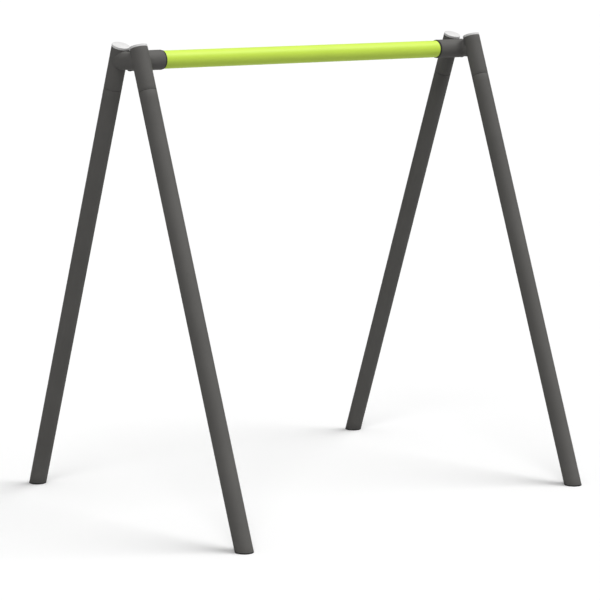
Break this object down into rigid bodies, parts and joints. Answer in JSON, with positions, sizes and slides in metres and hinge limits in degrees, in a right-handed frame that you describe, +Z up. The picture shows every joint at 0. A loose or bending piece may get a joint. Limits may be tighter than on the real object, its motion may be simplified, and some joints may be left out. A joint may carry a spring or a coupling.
{
  "type": "monkey bars",
  "caption": "Free-standing overhead bar carried between two A-frames of round steel tube, with capped leg tops.",
  "frame": {"origin": "on the ground, under the middle of the bar", "axes": "+X along the bar to the right, +Y from the front legs to the back legs, +Z up"},
  "size_m": [2.2588, 1.8936, 2.3404],
  "materials": {
    "charcoal_coat": "fine-textured matte powder coat, charcoal grey",
    "lime_coat": "smooth satin powder coat, lime green",
    "pale_cap": "satin moulded plastic, pale grey",
    "zinc_steel": "zinc-plated steel, hidden inside the tubes",
    "black_screw": "black oxide countersunk socket screws",
    "black_pad": "matte black polyethylene"
  },
  "bodies": {
    "root": {"crossbar": "lime_coat", "left_bar_plug": "zinc_steel", "left_collar": "charcoal_coat", "left_bar_seal": "black_pad", "left_cross_tube": "charcoal_coat", "left_collar_screws": "black_screw", "left_front_head_tube": "charcoal_coat", "left_front_cap": "pale_cap", "left_front_spigot": "zinc_steel", "left_front_leg": "charcoal_coat", "left_front_foot_pad": "black_pad", "left_front_joint_screws": "black_screw", "left_back_head_tube": "charcoal_coat", "left_back_cap": "pale_cap", "left_back_spigot": "zinc_steel", "left_back_leg": "charcoal_coat", "left_back_foot_pad": "black_pad", "left_back_joint_screws": "black_screw", "right_bar_plug": "zinc_steel", "right_collar": "charcoal_coat", "right_bar_seal": "black_pad", "right_cross_tube": "charcoal_coat", "right_collar_screws": "black_screw", "right_front_head_tube": "charcoal_coat", "right_front_cap": "pale_cap", "right_front_spigot": "zinc_steel", "right_front_leg": "charcoal_coat", "right_front_foot_pad": "black_pad", "right_front_joint_screws": "black_screw", "right_back_head_tube": "charcoal_coat", "right_back_cap": "pale_cap", "right_back_spigot": "zinc_steel", "right_back_leg": "charcoal_coat", "right_back_foot_pad": "black_pad", "right_back_joint_screws": "black_screw"}
  },
  "joints": []
}
